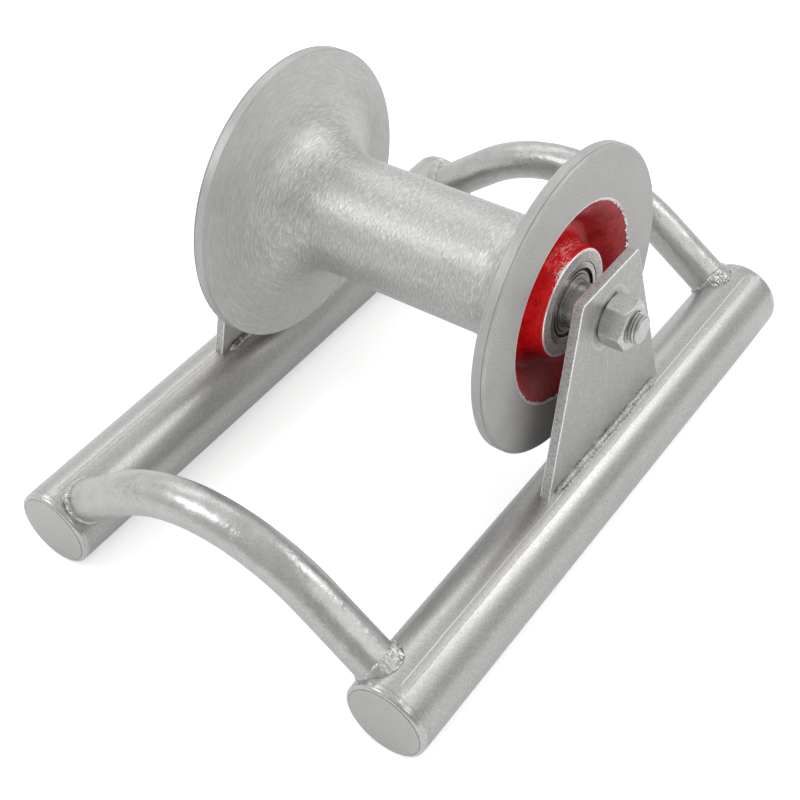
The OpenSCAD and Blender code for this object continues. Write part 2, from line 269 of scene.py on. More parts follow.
def beside(radius, height, *offsets):
    """Points of a section that lie a few millimetres out and up from one of its corners."""
    return [(radius + out * MM, height + up * MM) for out, up in offsets]


def row(bm, points):
    """A row of points with edges between them."""
    verts = [bm.verts.new(point) for point in points]
    return verts, [bm.edges.new(pair) for pair in zip(verts, verts[1:])]


def turned(outline, segments=96, closed=True):
    """Turns an outline of (radius, height) points about +Z."""
    bm = bmesh.new()
    verts, edges = row(bm, [(r, 0, z) for r, z in outline])
    if closed:
        edges.append(bm.edges.new((verts[-1], verts[0])))
    bmesh.ops.spin(bm, geom=verts + edges, cent=(0, 0, 0), axis=(0, 0, 1), angle=2 * pi,
                   steps=segments, use_merge=True)
    bmesh.ops.remove_doubles(bm, verts=bm.verts, dist=SAME_POINT)
    on_axis = [e for e in bm.edges if all(v.co.xy.length < ON_AXIS for v in e.verts)]
    bmesh.ops.delete(bm, geom=on_axis, context="EDGES")
    bmesh.ops.recalc_face_normals(bm, faces=bm.faces)
    return bm


def sewn(bm):
    """Joins the points that meet and turns all faces outwards."""
    bmesh.ops.remove_doubles(bm, verts=bm.verts, dist=MERGE)
    bmesh.ops.recalc_face_normals(bm, faces=bm.faces)
    return bm


def striped(lines, segments):
    """Turns a row of open lines of (radius, height) points, each with a finish of its own number."""
    bm = bmesh.new()
    for number, line in enumerate(lines):
        strip = turned(line, segments, closed=False)
        for face in strip.faces:
            face.material_index = number
        merge(bm, strip)
    return sewn(bm)


def softened(bm, edges, width, finish):
    """Bevels edges in two steps and gives the bevels a finish of their own."""
    bmesh.ops.bevel(bm, geom=edges, offset=width, offset_type="OFFSET", segments=2, profile=0.5,
                    affect="EDGES", material=finish, clamp_overlap=True)


def swept(radius, segments, stations):
    """A circle carried through a row of placing matrices, closed at both ends; also its rings."""
    bm = bmesh.new()
    ring = bmesh.ops.create_circle(bm, cap_ends=False, radius=radius, segments=segments)["verts"]
    bmesh.ops.transform(bm, matrix=stations[0], verts=ring)
    rings = [ring]
    edges = list(bm.edges)
    for before, here in zip(stations, stations[1:]):
        grown = bmesh.ops.extrude_edge_only(bm, edges=edges)["geom"]
        ring = [e for e in grown if isinstance(e, bmesh.types.BMVert)]
        edges = [e for e in grown if isinstance(e, bmesh.types.BMEdge)]
        edges = [e for e in edges if all(v in ring for v in e.verts)]
        bmesh.ops.transform(bm, matrix=here @ before.inverted(), verts=ring)
        rings.append(ring)
    bmesh.ops.holes_fill(bm, edges=bm.edges, sides=0)
    bmesh.ops.recalc_face_normals(bm, faces=bm.faces)
    return bm, rings


def merge(bm, other):
    """Adds a second bmesh to the first."""
    mesh = mesh_of(other, "part")
    bm.from_mesh(mesh)
    bpy.data.meshes.remove(mesh)


def moved(bm, matrix):
    bmesh.ops.transform(bm, matrix=matrix, verts=bm.verts)
    return bm


def on_axle(bm, side):
    """Puts a shape drawn along +Z on the axle, outwards to one side."""
    return moved(bm, Matrix.Translation(AXLE) @ Matrix.Rotation(radians(-90 * side), 4, "X"))


def along_skid(bm, end, side):
    """Puts a shape drawn along +Z on a skid's centre line, towards one end."""
    turn = Matrix.Rotation(radians(90 * end), 4, "Y")
    return moved(bm, Matrix.Translation((0, side * SKID_Y, SKID_R)) @ turn)


def lumps(at, size, seed):
    """Smooth noise from -1 to 1 with lumps of about a given size."""
    return noise.noise(Vector(at) / size + Vector((seed, 2 * seed, 3 * seed)))


# Helpers for materials

def new_finish(name):
    """A material with its shader and its object coordinates."""
    finish = bpy.data.materials.new(name)
    finish.use_nodes = True
    nodes = finish.node_tree.nodes
    return finish, nodes["Principled BSDF"], nodes.new("ShaderNodeTexCoord").outputs["Object"]


def feed(value, socket):
    """Links a socket's value, or sets a plain one."""
    if isinstance(value, bpy.types.NodeSocket):
        socket.id_data.links.new(value, socket)
    else:
        socket.default_value = value


def node_for(kind, *values):
    """A new node in the tree that holds the first socket among the values."""
    tree = next(v.id_data for v in values if isinstance(v, bpy.types.NodeSocket))
    return tree.nodes.new(kind)


def fed(node, values):
    """Feeds a node's inputs, each by its name or number, and gives its first output."""
    for key, value in values.items():
        feed(value, node.inputs[key])
    return node.outputs[0]


def mapped(coords, scale, at=(0, 0, 0)):
    """Coordinates stretched by a scale in each direction."""
    return fed(node_for("ShaderNodeMapping", coords), {"Vector": coords, "Location": at, "Scale": scale})


def split(coords):
    """The three parts of a vector."""
    node = node_for("ShaderNodeSeparateXYZ", coords)
    fed(node, {"Vector": coords})
    return list(node.outputs)


def joined(parts):
    """A vector of three sockets or numbers."""
    return fed(node_for("ShaderNodeCombineXYZ", *parts), dict(enumerate(parts)))


def grain(coords, size, detail=2, rough=0.5, stretch=(1, 1, 1)):
    """Noise whose blotches are about size metres across."""
    node = node_for("ShaderNodeTexNoise", coords)
    vector = mapped(coords, [s / size for s in stretch])
    fed(node, {"Vector": vector, "Scale": 1, "Detail": detail, "Roughness": rough})
    return node.outputs["Fac"]


def ramp(value, low, high, to_low=0.0, to_high=1.0):
    """Maps a range of a value to another, clamped."""
    return fed(node_for("ShaderNodeMapRange", value), {
        "Value": value, "From Min": low, "From Max": high, "To Min": to_low, "To Max": to_high})


def maths(kind, a, b=0.0):
    """One math node over two values, each a socket or a number."""
    node = node_for("ShaderNodeMath", a, b)
    node.operation = kind
    return fed(node, {0: a, 1: b})


def plus(a, b):
    return maths("ADD", a, b)


def minus(a, b):
    return maths("SUBTRACT", a, b)


def times(a, b):
    return maths("MULTIPLY", a, b)


def size_of(value):
    return maths("ABSOLUTE", value)


def near(value, middle, full, gone, most=1):
    """The most where a value is close to the middle, fading to none."""
    return ramp(size_of(minus(value, middle)), full, gone, most, 0)


def blend_colour(share, a, b):
    """Mixes two colours, each a socket or a plain colour."""
    node = node_for("ShaderNodeMix", share)
    node.data_type = "RGBA"
    fed(node, {"Factor": share, 6: a, 7: b})
    return node.outputs[2]


def dent(height, depth, normal=None):
    """A bump of a given depth in metres, over another one if there is one."""
    node = node_for("ShaderNodeBump", height)
    if normal is not None:
        feed(normal, node.inputs["Normal"])
    return fed(node, {"Strength": 1, "Distance": depth, "Height": height})


def grey(level):
    return (level, level * 0.995, level * 0.985, 1)


def tinted(shade, share, level):
    """A shade with a share of grey over it."""
    return blend_colour(share, shade, grey(level))


def flecked(shade, value, start, full, most, level):
    """Grey flecks over a shade, from none where a value is at the start to the most where it is full."""
    return tinted(shade, ramp(value, start, full, 0, most), level)


def wired(shader, shade, roughness, metallic, normal):
    """Feeds a shader its colour, roughness, share of metal and normal."""
    fed(shader, {"Base Color": shade, "Roughness": roughness, "Metallic": metallic, "Normal": normal})


def axle_polar(coords):
    """Radius and angle about the axle, and the distance along it."""
    x, y, z = split(mapped(coords, (1, 1, 1), tuple(-AXLE)))
    square = plus(times(x, x), times(z, z))
    return maths("SQRT", square), maths("ARCTAN2", x, z), y


def clouded(coords, size, level, spread, rough, stretch=(1, 1, 1)):
    """Soft blotches in a shade of grey, and a roughness that goes with them."""
    cloud = ramp(grain(coords, size, 4, 0.6, stretch), 0.3, 0.7)
    shade = blend_colour(cloud, grey(level * (1 - spread)), grey(level * (1 + spread)))
    return shade, ramp(cloud, 0, 1, rough - ROUGH_SPREAD, rough + ROUGH_SPREAD)


def satin_metal(name, level, rough, blotch=14 * MM, spread=0.1, fine_depth=0.02 * MM,
                stretch=(1, 1, 1), fine_stretch=(1, 1, 1), wave=3 * MM, wave_depth=0.0,
                metallic=METAL_SHARE, sparkle=0.2, marks=None):
    """Silver metal with soft blotches, a fine grain and a slightly uneven surface."""
    finish, shader, coords = new_finish(name)
    shade, roughness = clouded(coords, blotch, level, spread, rough, stretch)
    speck = grain(coords, FINE_GRAIN, 3, 0.7, fine_stretch)
    shade = flecked(shade, speck, 0.47, 0.3, 1, level * (1 - 2 * sparkle))
    shade = flecked(shade, speck, 0.53, 0.7, 1, level * (1 + 3 * sparkle))
    normal = dent(speck, fine_depth)
    if wave_depth:
        normal = dent(grain(coords, wave, 3, 0.55), wave_depth, normal)
    if marks:
        shade, roughness, normal = marks(coords, shade, roughness, normal)
    wired(shader, shade, roughness, metallic, normal)
    return finish


def turned_metal(name, level, rough, contrast=0.26, depth=0.1 * MM, anisotropic=0.3, marks=None):
    """Aluminium off the lathe: strokes round the axle, clear on the barrel and faint on the flanges."""
    finish, shader, coords = new_finish(name)
    radius, angle, along = axle_polar(coords)
    out = ramp(radius, BARREL_R + 3 * MM, BARREL_R + 20 * MM)
    unrolled = joined((times(angle, STROKE_R), radius, along))
    strokes = grain(unrolled, 0.5 * MM, 3, 0.7, (0.1, 1, 1))
    speck = grain(coords, 0.8 * MM, 3, 0.75)
    shade, roughness = clouded(coords, 16 * MM, level, 0.06, rough)
    share = ramp(out, 0, 1, 1, 0.4)
    dark = times(ramp(strokes, 0.49, 0.3), share)
    light = times(ramp(strokes, 0.51, 0.7), share)
    shade = tinted(shade, dark, level * (1 - contrast))
    shade = tinted(shade, light, level * (1 + 1.6 * contrast))
    shade = flecked(shade, speck, 0.44, 0.3, 0.4, level * 0.7)
    roughness = plus(roughness, ramp(out, 0, 1, 0, 0.06))
    normal = dent(times(strokes, share), depth)
    normal = dent(speck, 0.35 * depth, normal)
    if marks:
        shade, roughness, normal = marks(coords, shade, roughness, normal)
    metallic = ramp(out, 0, 1, METAL_SHARE, 0.5 * METAL_SHARE)
    wired(shader, shade, roughness, metallic, normal)
    if anisotropic:
        tangent = node_for("ShaderNodeTangent", coords)
        tangent.direction_type = "RADIAL"
        tangent.axis = "Y"
        fed(shader, {"Tangent": tangent.outputs[0], "Anisotropic": anisotropic})
    return finish


def red_enamel(name, dark, light, rough, specular, strokes_depth, dustiness):
    """Red paint brushed on thick, with dust in it, pink strokes on the boss that are a painted highlight, and
    a painted shadow just inside the recess's edge.
    """
    finish, shader, coords = new_finish(name)
    radius, angle, along = axle_polar(coords)
    depth = minus(ROLLER_END, size_of(along))
    unrolled = joined((times(angle, BOSS_R), depth, radius))
    cloud = grain(coords, 6 * MM, 4, 0.65)
    lump = grain(coords, 1.6 * MM, 3, 0.65)
    dust = grain(coords, 0.7 * MM, 3, 0.75)
    strokes = grain(unrolled, 0.9 * MM, 3, 0.75)
    worn_and_glint = worn_and_glinting_edges(coords, radius, angle, depth, strokes)
    red = blend_colour(ramp(cloud, 0.35, 0.65), dark, light)
    red = blend_colour(ramp(dust, 0.5, 0.75, 0, dustiness), red, DUSTY_RED)
    # Painted highlight: pink glint strokes high on the boss's flank
    glint = ramp(grain(unrolled, 0.7 * MM, 3, 0.7, (0.3, 1, 1)), 0.47, 0.6, 0, 0.75)
    glint = times(glint, near(angle, GLINT_ANGLE, radians(8), radians(40)))
    glint = times(glint, near(depth, GLINT_DEPTH, 1 * MM, 3.6 * MM))
    red = blend_colour(glint, red, GLINT_PINK)
    shadow = ramp(radius, RECESS_R - 1.2 * MM, RECESS_R - 0.5 * MM, 0, 0.5)
    red = blend_colour(shadow, red, SHADOW_RED)
    gloss = ramp(cloud, 0.3, 0.7, rough - 0.04, rough + 0.06)
    gloss = maths("MAXIMUM", gloss, times(worn_and_glint, 0.4))
    normal = dent(lump, 0.2 * MM)
    normal = dent(strokes, strokes_depth, normal)
    normal = dent(worn_and_glint, -0.06 * MM, normal)
    # The pale grey over these strokes is partly bare metal and partly a painted highlight
    wired(shader, tinted(red, worn_and_glint, 0.85), gloss, times(worn_and_glint, 0.5), normal)
    shader.inputs["Specular IOR Level"].default_value = specular
    return finish


def worn_and_glinting_edges(coords, radius, angle, depth, strokes):
    """Where the paint is gone, ragged at the recess's edge; and strokes on the boss's upper front that are
    partly paint worn to bare metal and partly a painted highlight.
    """
    chips = grain(coords, 1.3 * MM, 3, 0.7)
    edge = plus(radius, ramp(chips, 0.3, 0.7, -0.6 * MM, 0.6 * MM))
    ragged = ramp(edge, RECESS_R - 0.35 * MM, RECESS_R - 0.2 * MM)
    sector = size_of(minus(angle, WORN_GLINT_ANGLE))
    reach = ramp(sector, radians(8), radians(32), 2.6 * MM, -3 * MM)
    near_face = minus(reach, depth)
    on_boss = ramp(radius, BOSS_R + 1.0 * MM, BOSS_R + 1.3 * MM, 1, 0)
    rub_and_glint = plus(times(near_face, 0.06 / MM), minus(strokes, 0.56))
    return maths("MAXIMUM", ragged, times(ramp(rub_and_glint, 0.0, 0.04), on_boss))


def seam_marks(side, at, half, line_level):
    """Marks a tube's weld seam, a straight flat band between two fine lines painted as light and shade along
    its edges, and its ground ends.
    """
    def marks(coords, shade, roughness, normal):
        x, y, z = split(mapped(coords, (1, 1, 1), (0, -side * SKID_Y, -SKID_R)))
        off = times(minus(maths("ARCTAN2", y, z), at), SKID_R)
        off = plus(off, ramp(grain(coords, 5 * MM), 0.3, 0.7, -0.1 * MM, 0.1 * MM))
        inside = near(x, 0, SKID_END - 5 * MM, SKID_END - 3 * MM)
        band = times(near(off, 0, half - 0.08 * MM, half + 0.08 * MM), inside)
        # Painted light along the band's edges: the upper line white as a highlight on the right skid and dark
        # as shade on the left, the lower line dark as shade
        line = times(near(off, half, 0.1 * MM, 0.25 * MM, 0.7), inside)
        low_shade_line = times(near(off, -half, 0.06 * MM, 0.2 * MM, 0.35), inside)
        shade = tinted(shade, times(band, 0.12), 0.25)
        shade = tinted(shade, line, line_level)
        shade = tinted(shade, low_shade_line, 0.2)
        roughness = plus(roughness, times(band, 0.06))
        normal = dent(band, 0.04 * MM, normal)
        ground = ramp(size_of(x), SKID_END - 9 * MM, SKID_END - 2 * MM)
        rings = times(ground, grain(coords, 0.4 * MM, 3, 0.65, (1, 0.08, 0.08)))
        shade = flecked(shade, rings, 0.5, 0.62, 0.5, 0.3)
        return shade, roughness, dent(rings, 0.05 * MM, normal)
    return marks


def sheared_marks(coords, shade, roughness, normal):
    """Pits, and cut marks straight across the plate's edges."""
    cuts = grain(coords, 0.7 * MM, 2, 0.6, (1, 0.3, 1))
    pits = grain(coords, 1.1 * MM, 3, 0.7)
    shade = flecked(shade, cuts, 0.4, 0.65, 0.4, 0.62)
    shade = flecked(shade, pits, 0.44, 0.34, 0.7, 0.16)
    return shade, roughness, dent(cuts, 0.06 * MM, normal)


def rim_marks(coords, shade, roughness, normal):
    """A fine dark line round the rim near the flange's outer face."""
    along = axle_polar(coords)[2]
    line = near(size_of(along), ROLLER_END - RIM_LINE_DEPTH, 0.08 * MM, 0.22 * MM, 0.75)
    return tinted(shade, line, 0.12), roughness, normal


def plate_marks(coords, shade, roughness, normal):
    """Fine upright scratches, light and dark scuffs, and a rubbed ring round the nut."""
    radius = axle_polar(coords)[0]
    scratch = grain(coords, 1.1 * MM, 3, 0.6, (1, 1, 0.05))
    scuff = grain(coords, 3.5 * MM, 4, 0.7)
    shade = flecked(shade, scratch, 0.6, 0.7, 0.25, 0.75)
    shade = flecked(shade, scuff, 0.55, 0.62, 0.22, 0.65)
    shade = flecked(shade, scuff, 0.42, 0.34, 0.22, 0.38)
    rub_and_glint = near(radius, RUBBED_R, 0.2 * MM, 1.2 * MM, 0.35)
    return tinted(shade, rub_and_glint, 0.72), roughness, normal


def pitted_marks(coords, shade, roughness, normal):
    """Patches of dark pits and bright raised specks on the bent tubes."""
    patch = ramp(grain(coords, 13 * MM, 2, 0.5), 0.46, 0.58)
    pits = grain(coords, 1.3 * MM, 3, 0.65)
    for start, full, most, level in ((0.42, 0.34, 0.35, 0.2), (0.58, 0.66, 0.25, 0.8)):
        share = times(patch, ramp(pits, start, full, 0, most))
        shade = tinted(shade, share, level)
    return shade, roughness, dent(times(patch, pits), 0.2 * MM, normal)


def weld_marks(coords, shade, roughness, normal):
    """Bright specks and dark slots of a weld bead."""
    speck = grain(coords, 1.8 * MM, 3, 0.65)
    shade = flecked(shade, speck, 0.53, 0.62, 0.7, 0.85)
    shade = flecked(shade, speck, 0.42, 0.36, 0.8, 0.1)
    return shade, roughness, dent(speck, 0.5 * MM, normal)


def chip_marks(coords, shade, roughness, normal):
    """Dark teeth in the recess's edge on its rear side."""
    angle = axle_polar(coords)[1]
    teeth = ramp(grain(coords, 1.2 * MM, 3, 0.75), 0.52, 0.46, 0, 0.85)
    teeth = times(teeth, near(angle, CHIPPED_ANGLE, radians(20), radians(40)))
    return blend_colour(teeth, shade, CHIP_BROWN), roughness, normal


def drawn_marks(coords, shade, roughness, normal):
    """Long ridges and dark cracks along a thin weld."""
    streak = grain(coords, 0.9 * MM, 3, 0.6, (0.1, 1, 1))
    shade = flecked(shade, streak, 0.45, 0.37, 0.85, 0.08)
    shade = flecked(shade, streak, 0.56, 0.64, 0.5, 0.85)
    return shade, roughness, dent(streak, 0.3 * MM, normal)


def cast_marks(coords, shade, roughness, normal):
    """A fine dark ring near the edge of the cast boss's face, and dark and bright pores in it."""
    radius = axle_polar(coords)[0]
    ring = near(radius, BOSS_R - 1.7 * MM, 0.06 * MM, 0.2 * MM, 0.5)
    shade = tinted(shade, ring, 0.25)
    pores = grain(coords, 0.8 * MM, 3, 0.75)
    shade = flecked(shade, pores, 0.45, 0.35, 0.75, 0.2)
    shade = flecked(shade, pores, 0.55, 0.65, 0.8, 0.95)
    return shade, roughness, normal


# The finishes

skid_looks = dict(level=0.47, rough=0.33, spread=0.03, blotch=18 * MM, stretch=(0.7, 1, 1), sparkle=0.1,
                  fine_stretch=(1, 0.5, 0.5), fine_depth=0.04 * MM, metallic=0.8)
# The right seam's upper line is a painted highlight, the left seam's a painted shade
right_skid_finish = satin_metal(
    "satin_right_skid", marks=seam_marks(-1, RIGHT_SEAM_ANGLE, 1.5 * MM, 0.95), **skid_looks)
left_skid_finish = satin_metal(
    "satin_left_skid", marks=seam_marks(1, LEFT_SEAM_ANGLE, 1.0 * MM, 0.25), **skid_looks)
cap_finish = satin_metal("dull_end_cap", 0.51, 0.5, spread=0.03, sparkle=0.05, fine_depth=0.008 * MM)
cap_edge_finish = satin_metal("ground_cap_edge", 0.52, 0.25, spread=0.12, blotch=5 * MM, wave=3 * MM,
                              wave_depth=0.05 * MM, sparkle=0.1, fine_depth=0.008 * MM)
# The cap's fine groove, painted darker as shade
cap_groove_shade_finish = satin_metal("cap_groove_painted_shade", 0.25, 0.5, spread=0.2)
# Near black, the painted shade in the shields' grooves and in the welds' cracks
groove_shade_finish = satin_metal("groove_painted_shade", 0.06, 0.5, spread=0.2)
cross_finish = satin_metal("mottled_cross_tube", 0.5, 0.31, blotch=8 * MM, sparkle=0.09, wave=2.2 * MM,
                           wave_depth=0.1 * MM, marks=pitted_marks)
smooth_weld_finish = satin_metal("brushed_weld", 0.5, 0.34, spread=0.15, wave=2.5 * MM, wave_depth=0.25 * MM)
weld_finish = satin_metal("bright_weld", 0.6, 0.22, spread=0.15, wave=1.3 * MM, wave_depth=0.3 * MM,
                          metallic=1.0, marks=weld_marks)
foot_weld_finish = satin_metal("drawn_foot_weld", 0.46, 0.34, spread=0.1, metallic=0.8, marks=drawn_marks)
plate_finish = satin_metal("sheared_plate", 0.42, 0.42, spread=0.05, sparkle=0.14, fine_depth=0.012 * MM,
                           metallic=0.75, marks=plate_marks)
edge_finish = satin_metal("sheared_edge", 0.43, 0.42, spread=0.12, metallic=0.6, marks=sheared_marks)
# Edge bevels painted bright as a highlight, on the plates and the boss's lip
arris_highlight_finish = satin_metal("arris_painted_highlight", 0.9, 0.3, spread=0.1, metallic=0.6)
# Hexagon edge bevels painted lighter as a highlight
corner_highlight_finish = satin_metal("hexagon_corner_painted_highlight", 0.68, 0.3, spread=0.2, blotch=3 * MM, metallic=0.8)
# The recess's edge bevel, painted bright as a highlight, with dark chipped teeth on its rear side
chipped_highlight_finish = satin_metal("chipped_arris_painted_highlight", 0.75, 0.35, spread=0.1, metallic=0.5, marks=chip_marks)
zinc_finish = satin_metal("zinc_plated_steel", 0.53, 0.3, spread=0.12, blotch=4 * MM, fine_depth=0.012 * MM,
                          sparkle=0.12)
# The thread's roots painted dark as shade
root_shade_finish = satin_metal("thread_root_painted_shade", 0.16, 0.4, spread=0.3, blotch=3 * MM)
bush_finish = satin_metal("dark_bush", 0.44, 0.3, spread=0.2, blotch=5 * MM)
ring_finish = satin_metal("ground_ring", 0.55, 0.25, spread=0.06, blotch=8 * MM, fine_depth=0.006 * MM,
                          sparkle=0.08)
shield_finish = satin_metal("pressed_shield", 0.52, 0.3, spread=0.08, blotch=8 * MM, fine_depth=0.006 * MM,
                            sparkle=0.08)
ball_finish = satin_metal("polished_ball", 0.62, 0.1, spread=0.04, blotch=3 * MM, fine_depth=0.001 * MM,
                          sparkle=0.02)
cage_finish = satin_metal("pressed_cage", 0.45, 0.35, spread=0.08, blotch=4 * MM)
barrel_finish = turned_metal("turned_barrel", 0.54, 0.37, contrast=0.32, depth=0.17 * MM)
rim_finish = turned_metal("turned_rim", 0.44, 0.36, anisotropic=0, marks=rim_marks)
face_finish = satin_metal("matte_flange_face", 0.4, 0.5, spread=0.07, sparkle=0.18, fine_depth=0.03 * MM,
                          metallic=0.35)
boss_finish = satin_metal("cast_boss", 0.66, 0.42, spread=0.12, blotch=3 * MM, wave=1.5 * MM,
                          wave_depth=0.12 * MM, metallic=0.5, marks=cast_marks)
# The bearing seat's bore, painted nearly black as the shade between the boss and the bearing
seat_shade_finish = satin_metal("bored_seat_painted_shade", 0.12, 0.3, spread=0.08, blotch=6 * MM)
# One red paint in two copies: lighter on the boss's flank as painted light, darker on the recess's wall as
# painted shade; they also differ in gloss
glossy_enamel_painted_light = red_enamel("glossy_red_enamel_painted_light", (0.5, 0.005, 0.008, 1), (0.82, 0.01, 0.014, 1), 0.15, 0.5,
                           0.25 * MM, 0.15)
dull_enamel_painted_shade = red_enamel("dull_red_enamel_painted_shade", (0.28, 0.012, 0.015, 1), (0.48, 0.034, 0.038, 1), 0.4, 0.3,
                         0.05 * MM, 0.4)


# Skid tubes and their end caps

def skid_tube(side, name, finish):
    """A round tube with rounded ends."""
    bore = SKID_R - SKID_WALL
    bm = turned(eased([
        (bore, -SKID_END, 0), (SKID_R, -SKID_END, SKID_END_ROUND),
        (SKID_R, SKID_END, SKID_END_ROUND), (bore, SKID_END, 0),
    ], 6), SKID_STEPS)
    piece(name, along_skid(bm, 1, side), "frame", [finish], [name.replace("plain_", "")])


def end_cap(end, side, name, node):
    """A flat disc in a rounded, ground shoulder, with a fine groove between them painted darker as shade, on
    a spigot.
    """
    inner, outer = SKID_END, FRAME_END
    disc = [(0, outer), (CAP_DISC_R - 0.1 * MM, outer), (CAP_DISC_R, outer - 0.1 * MM)]
    groove = disc[-1:] + beside(CAP_DISC_R, outer, (0.04, -0.2), (0.2, -0.2))
    shoulder = groove[-1:] + arc(
        (CAP_SHOULDER_R - CAP_ROUND, outer - 0.1 * MM - CAP_ROUND), CAP_ROUND, 82, 0, 8)
    shoulder += beside(CAP_SHOULDER_R, inner, (0, 0.08), (-0.08, 0))
    back = [shoulder[-1], (SPIGOT_R, inner), (SPIGOT_R, inner - SPIGOT_LEN), (0, inner - SPIGOT_LEN)]
    bm = striped([disc, groove, shoulder, back], CAP_STEPS)
    finishes = [cap_finish, cap_groove_shade_finish, cap_edge_finish, cap_finish]
    piece(name, along_skid(bm, end, side), "frame", finishes, [node])


# Cross tubes and the welds at their ends

def leg_line(end, side):
    """A cross tube's leg: the point it aims for on the skid, the way back to the bend, and its up."""
    aim = Vector((end * CROSS_X, side * SKID_Y, LEG_AIM_Z))
    back = Vector((0, -side * cos(LEG_ANGLE), sin(LEG_ANGLE)))
    up = Vector((0, side * sin(LEG_ANGLE), cos(LEG_ANGLE)))
    return aim, back, up


def to_skid(point, way, side, reach):
    """How far along a way a point comes within reach of a skid's centre line, coming from the bend."""
    y, z = point.y - side * SKID_Y, point.z - SKID_R
    b = y * way.y + z * way.z
    c = y * y + z * z - reach * reach
    return -b - sqrt(max(0.0, b * b - c))


def cross_tube(end, name, node):
    """A tube bent over the gap, its legs coped on to the skids, with slight dents along the bend."""
    stations = []
    for i in range(BEND_STEPS + 1):
        a = LEG_ANGLE * (2 * i / BEND_STEPS - 1)
        out = Vector((0, sin(a), cos(a)))
        along = Vector((0, cos(a), -sin(a)))
        place = Matrix((Vector((1, 0, 0)), out, along)).transposed().to_4x4()
        stations.append(Matrix.Translation(Vector((end * CROSS_X, 0, BEND_Z)) + out * BEND_R) @ place)
    ends = [[s.copy() for _ in range(LEG_STEPS)] for s in (stations[0], stations[-1])]
    bm, rings = swept(CROSS_R, CROSS_STEPS, ends[0] + stations + ends[1])
    for side, legs in ((-1, rings[LEG_STEPS - 1::-1]), (1, rings[-LEG_STEPS:])):
        _, back, _ = leg_line(end, side)
        for k, ring in enumerate(legs):
            for v in ring:
                length = to_skid(v.co, -back, side, SKID_R + CROSS_FIT)
                v.co -= back * length * (k + 1) / LEG_STEPS
    for i, ring in enumerate(rings[LEG_STEPS:-LEG_STEPS]):
        share = sin(pi * i / BEND_STEPS)
        middle = sum((v.co for v in ring), Vector()) / len(ring)
        for v in ring:
            push = 0.1 * lumps(v.co, 7 * MM, end + 5) + 0.05 * lumps(v.co, 2.5 * MM, end + 9) - 0.15
            v.co += (v.co - middle).normalized() * push * share * MM
    piece(name, bm, "frame", [cross_finish], [node], 50)


def foot_collar(end, side, blob, crack):
    """Weld metal from a cross tube's square-cut end down to the skid, with a coarse blob and a crack.

    Its section is drawn in millimetres off the tube and in shares of the way up the weld.
    """
    aim, back, up = leg_line(end, side)
    outline = [(-0.8, -1.9), (0.4, -1.8), (0.72, -0.9)] + [(0.85, k / 8) for k in range(-2, 9)]
    outline += [(0.7, 1.3), (0.3, 1.7), (-0.3, 2.0), (-0.8, 1.5)]
    bm = turned([(CROSS_R + off * MM, share) for off, share in outline], COLLAR_STEPS)

    def nearness(point, angle, spread):
        off = (atan2(point.y, point.x) - radians(angle) + pi) % (2 * pi) - pi
        return max(0.0, min(1.0, 1.6 - abs(off) / radians(spread)))

    for face in bm.faces:
        middle = face.calc_center_median()
        if nearness(middle, blob, BLOB_SPREAD) > 0.4:
            face.material_index = 1
        # Faces of the crack take the third finish, a painted shade
        if nearness(middle, *crack) > 0.6 and -0.6 < middle.z < 0.1:
            face.material_index = 2
    for v in bm.verts:
        turn = atan2(v.co.y, v.co.x)
        share = nearness(v.co, blob, BLOB_SPREAD)
        spot = Vector((cos(turn), sin(turn), end))
        off = v.co.xy.length - CROSS_R
        ring_way = Vector((1, 0, 0)) * cos(turn) + up * sin(turn)
        foot = aim + ring_way * CROSS_R + back * 3 * SKID_R
        meet = 3 * SKID_R - to_skid(foot, -back, side, SKID_R)
        width = max(0.5 * MM, SQUARE_CUT - meet) + MM * (0.5 * lumps(spot, 0.3, side + 3) + 0.6 * share)
        along = max(0, min(1, v.co.z)) * width + MM * (min(0, v.co.z) + max(0, v.co.z - 1))
        ripple = 0.3 * abs(sin(turn * 24 + 4 * lumps(spot, 0.7, 5)))
        off *= 1 + 0.25 * lumps(spot, 0.25, side + 6) + share * (0.45 + ripple)
        v.co = aim + back * (meet + along) + ring_way * (CROSS_R + off)
        v.co += ring_way * MM * (0.12 + 0.3 * share) * lumps(v.co, 1.1 * MM, 4)
        if nearness(spot, *crack) > 0.6 and -0.6 * MM < along < 0.1 * MM:
            v.co -= ring_way * 0.5 * MM
    return bm


def cross_welds():
    bm = bmesh.new()
    for weld in CROSS_WELDS:
        merge(bm, foot_collar(*weld))
    bmesh.ops.recalc_face_normals(bm, faces=bm.faces)
    finishes = [smooth_weld_finish, weld_finish, groove_shade_finish]
    piece("rippled_cross_tube_welds", bm, "frame", finishes, ["cross_tube_welds"], 60)


# Bracket plates and the welds along their feet

